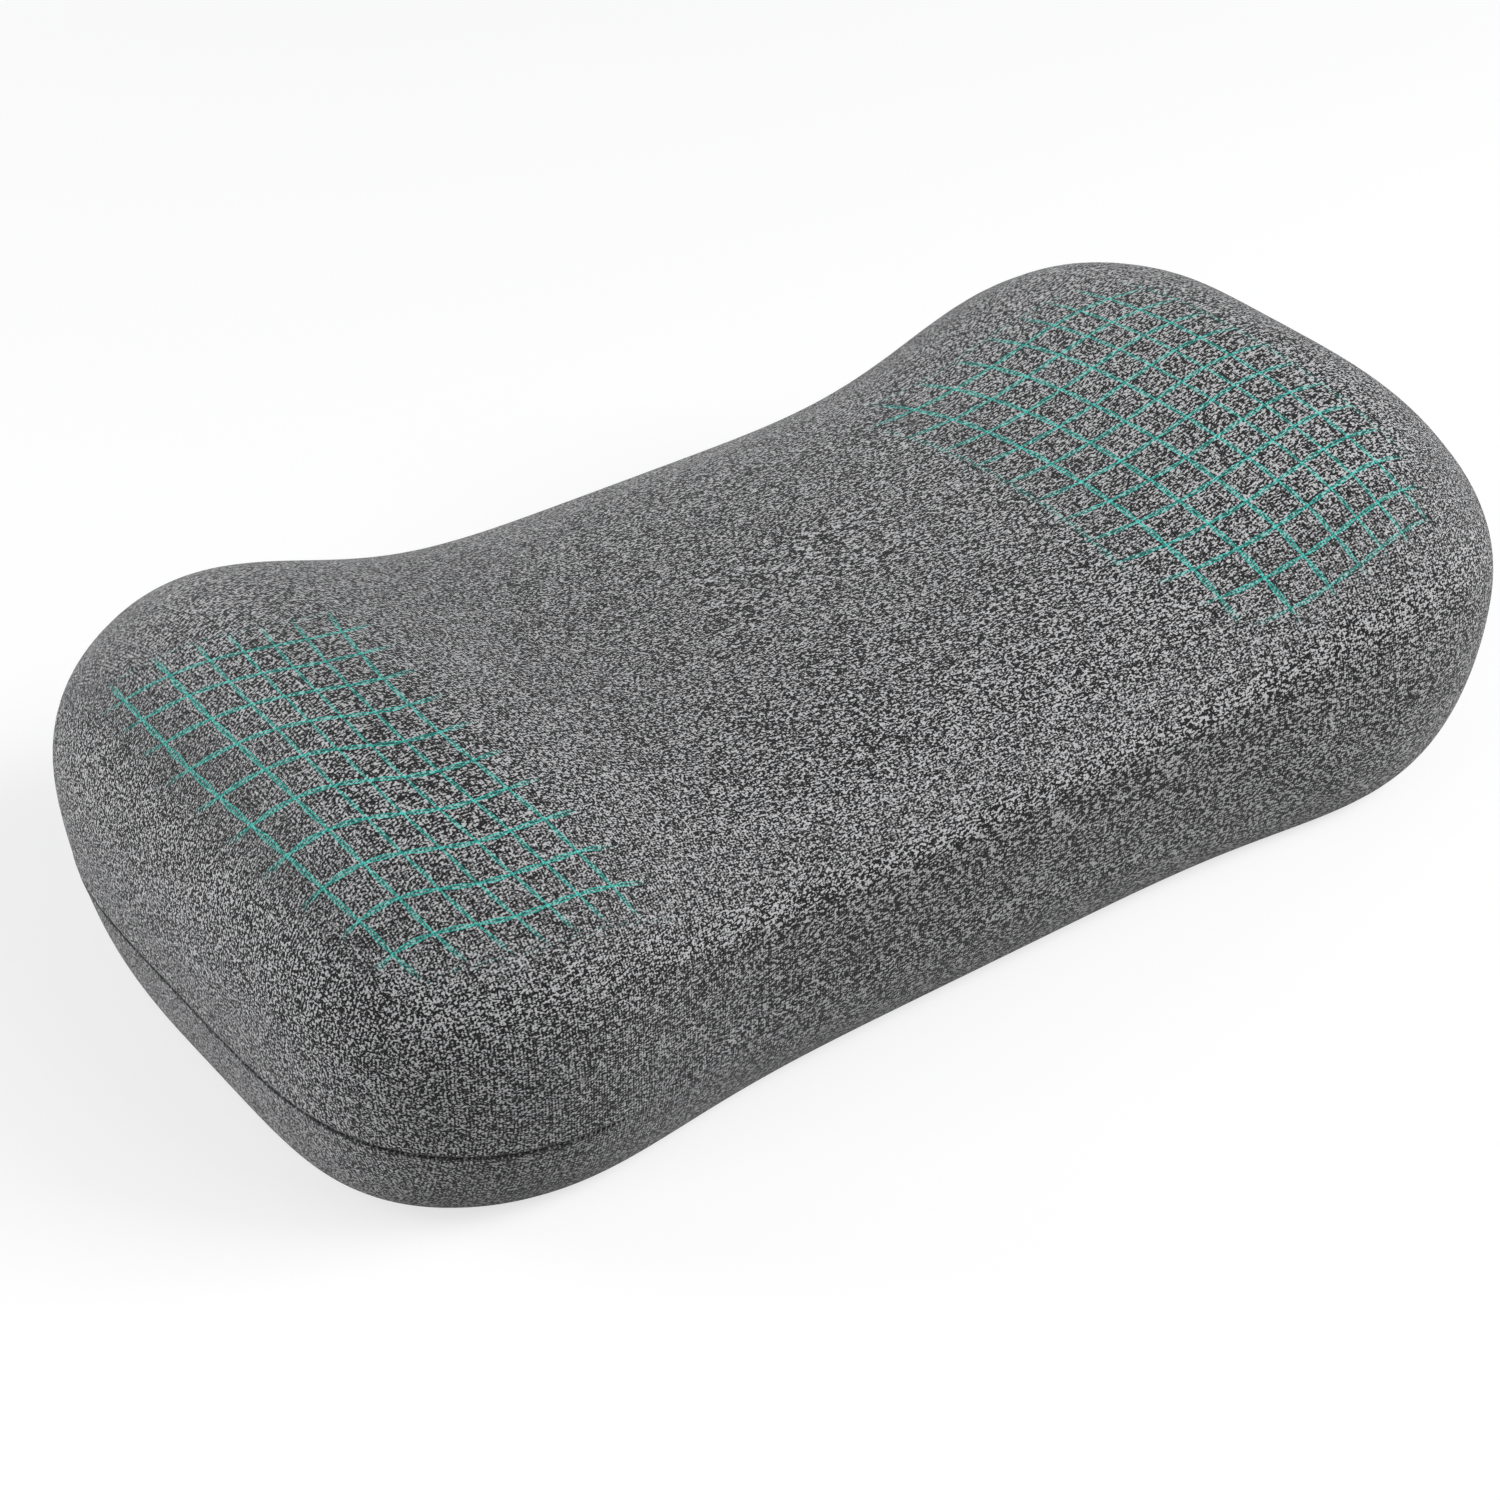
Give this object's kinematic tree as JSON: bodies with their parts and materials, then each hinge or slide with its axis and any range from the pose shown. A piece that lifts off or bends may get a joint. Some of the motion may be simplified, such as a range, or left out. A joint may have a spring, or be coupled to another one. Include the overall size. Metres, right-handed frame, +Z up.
{
  "type": "neck roll pillow",
  "caption": "Contoured foam neck pillow for a car seat: two raised end lobes, a lower narrowed middle and a flat base, in a zipped grey knit cover.",
  "frame": {"origin": "on the surface that the pillow lies on, under its middle", "axes": "+X runs along the pillow to the end without the zip, +Y to the back where the zip slider is, +Z up through the lobes"},
  "size_m": [0.3, 0.1588, 0.0873],
  "materials": {
    "grey_knit": "heather grey marl knit with a fine diagonal rib, soft and matt, with a faint teal line grid on the two lobes",
    "memory_foam": "slow-rebound polyurethane foam with a fine open skin",
    "zip_tape": "woven polyester tape",
    "zip_coil": "black nylon filament",
    "zip_metal": "black lacquered zinc"
  },
  "bodies": {
    "pillow": {"foam_core": "memory_foam", "cover": "grey_knit", "zip_tape_upper": "zip_tape", "zip_tape_lower": "zip_tape", "zip_coil_upper": "zip_coil", "zip_coil_lower": "zip_coil", "zip_bottom_stop": "zip_metal", "zip_top_stop_upper": "zip_metal", "zip_top_stop_lower": "zip_metal", "zip_slider": "zip_metal"},
    "pull": {"zip_pull": "zip_metal"}
  },
  "joints": [
    {"name": "zip_pull_swing", "type": "hinge", "parent": "pillow", "child": "pull", "pos_m": [-0.10242, 0.07921, 0.02149], "axis": [0.9989, -0.0032, -0.0466], "range_deg": [-25, 180]}
  ]
}
